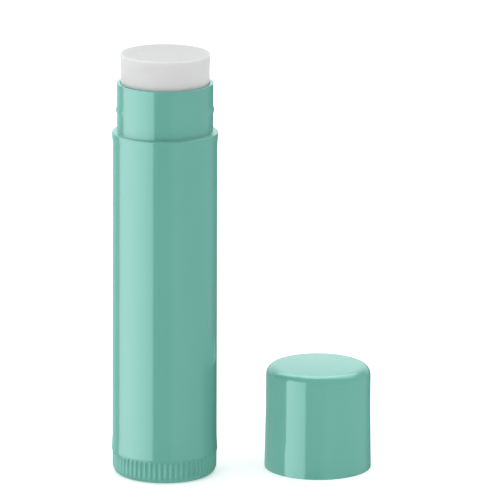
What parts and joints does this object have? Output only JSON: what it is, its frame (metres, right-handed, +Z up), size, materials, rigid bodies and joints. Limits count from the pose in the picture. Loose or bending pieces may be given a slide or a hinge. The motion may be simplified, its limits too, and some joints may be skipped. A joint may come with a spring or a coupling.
{
  "type": "lip balm stick",
  "caption": "Slim round twist-up lip balm stick with the balm wound out; a ribbed dial turns a threaded spindle that lifts the carrier. Its cap stands beside it.",
  "frame": {"origin": "centre of the dial's underside, on the stick's axis, in the surface that the stick and the cap stand on", "axes": "+Z up along the stick's axis, -Y towards the viewer of the picture, +X to the viewer's right, where the cap stands"},
  "size_m": [0.0394, 0.0193, 0.0648],
  "materials": {
    "barrel_plastic": "glossy moulded teal plastic",
    "dial_plastic": "glossy moulded teal plastic with fine upright ribs",
    "carrier_plastic": "uncoloured moulded plastic, satin",
    "balm_wax": "off-white cast wax, satin",
    "cap_plastic": "glossy moulded teal plastic"
  },
  "bodies": {
    "barrel": {"barrel": "barrel_plastic"},
    "dial": {"dial": "dial_plastic"},
    "carrier": {"carrier": "carrier_plastic", "balm": "balm_wax"},
    "cap": {"cap": "cap_plastic"}
  },
  "joints": [
    {"name": "dial_turn", "type": "hinge", "parent": "barrel", "child": "dial", "pos_m": [0, 0, 0], "axis": [0, 0, 1], "range_deg": [-630.1, 4132.9]},
    {"name": "carrier_lift", "type": "slide", "parent": "barrel", "child": "carrier", "axis": [0, 0, 1], "range_m": [-0.00525, 0.03444]},
    {"name": "cap_lift", "type": "slide", "parent": "barrel", "child": "cap", "axis": [0, 0, 1], "range_m": [0, 0.07]}
  ],
  "couplings": [
    {"joint": "dial_turn", "follows": "carrier_lift", "rad_per_m": 2094.4}
  ]
}
